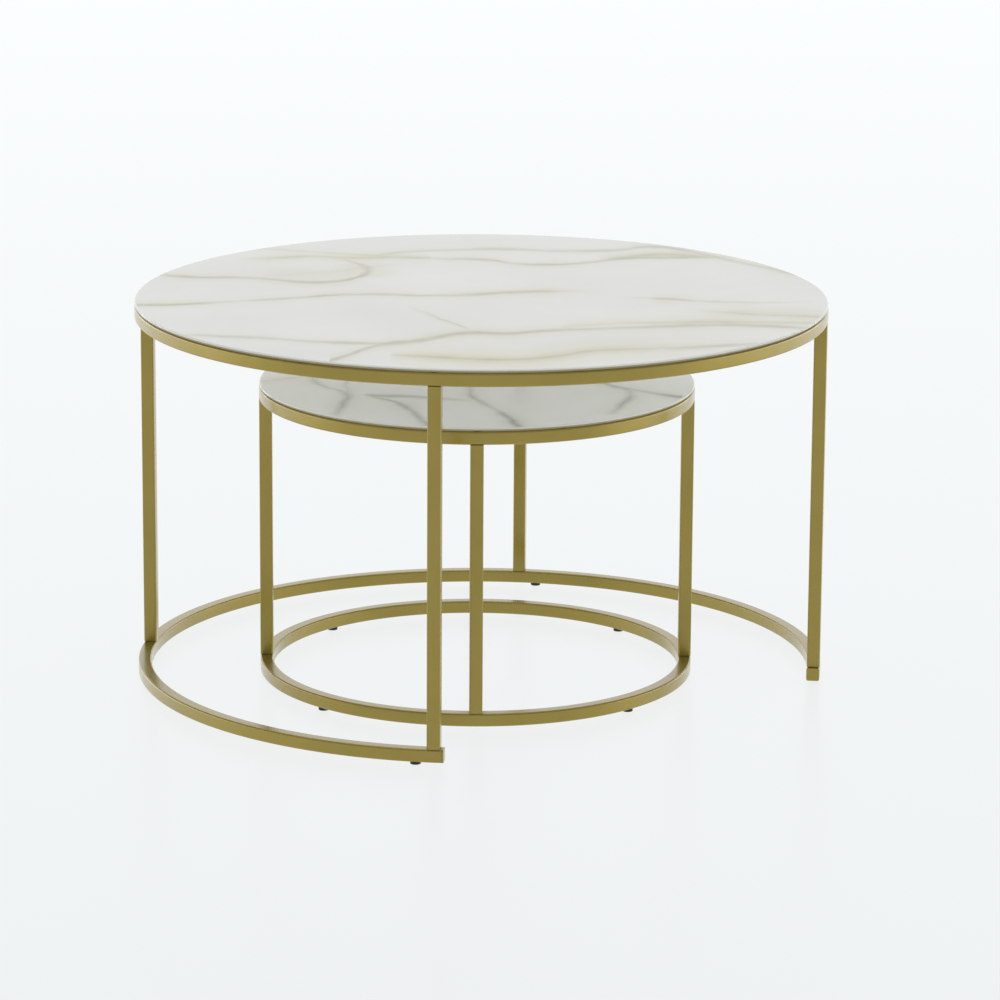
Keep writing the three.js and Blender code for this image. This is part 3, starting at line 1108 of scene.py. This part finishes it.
# %% [markdown]
# ## Floor and light
# The tables stand on a wide white plate that is lit from inside, as in a white studio: the
# floor glows by itself, so shadows on it stay faint, and its slight sheen mirrors almost
# nothing. The light comes from soft panels. A long one on each side runs along the round rings
# as a pale band. It is low, so that the tops do not mirror it. A pale wall behind gives the
# tops their sheen, and a wide panel overhead gives them their light.

# %% Floor
FLOOR_SIZE = 80


def lit_white_floor():
    material = new_material("lit_white_floor")
    surface(material, {
        "Base Color": linear("#3A3B3B"), "Roughness": 0.3, "IOR": 1.08,
        "Emission Color": linear("#F7FAFA"), "Emission Strength": 0.87,
    })
    return material


floor = start("floor", bpy.ops.mesh.primitive_plane_add, size=FLOOR_SIZE)
bpy.ops.object.mode_set(mode="OBJECT")
floor.data.materials.append(lit_white_floor())
print("floor:", FLOOR_SIZE, "m wide")

# %% Light
PANEL_DISTANCE = 8
PANEL_AIM = Vector((0, 0, 0.3))
OVERHEAD_SIZE = 4
OVERHEAD_HEIGHT = 4
OVERHEAD_BRIGHTNESS = 1.3
ROOM_BRIGHTNESS = 0.4


def panel(name, bearing, centre_height, width, height, brightness):
    """A soft panel that looks at the tables, at a bearing in degrees, to the right of the camera."""
    to_camera = math.atan2(CAMERA_PLACE.y, CAMERA_PLACE.x)
    angle = to_camera + math.radians(bearing)
    place = Vector((PANEL_DISTANCE * math.cos(angle), PANEL_DISTANCE * math.sin(angle), centre_height))
    light = bpy.data.lights.new(name, "AREA")
    light.shape = "RECTANGLE"
    light.size = width
    light.size_y = height
    light.energy = brightness * math.pi * width * height
    stand = bpy.data.objects.new(name, light)
    bpy.context.scene.collection.objects.link(stand)
    stand.location = place
    stand.rotation_euler = (PANEL_AIM - place).to_track_quat("-Z", "Y").to_euler()
    stand.visible_camera = False


panel("left_panel", -112, 0.85, 12, 1.7, 2.6)
panel("right_panel", 108, 0.85, 12, 1.7, 2.8)
panel("rear_wall", 180, 2.6, 9, 5.2, 0.65)

overhead = bpy.data.lights.new("overhead_panel", "AREA")
overhead.size = OVERHEAD_SIZE
overhead.energy = OVERHEAD_BRIGHTNESS * math.pi * OVERHEAD_SIZE ** 2
overhead_stand = bpy.data.objects.new("overhead_panel", overhead)
bpy.context.scene.collection.objects.link(overhead_stand)
overhead_stand.location = (0, 0, OVERHEAD_HEIGHT)
overhead_stand.visible_camera = False

world = bpy.data.worlds.new("studio_room")
world.use_nodes = True
room = world.node_tree.nodes["Background"]
room.inputs["Color"].default_value = linear("#F8FAFA")
room.inputs["Strength"].default_value = ROOM_BRIGHTNESS
bpy.context.scene.world = world
bpy.context.scene.view_settings.view_transform = "Standard"
print("lights:", [light.name for light in bpy.data.lights])
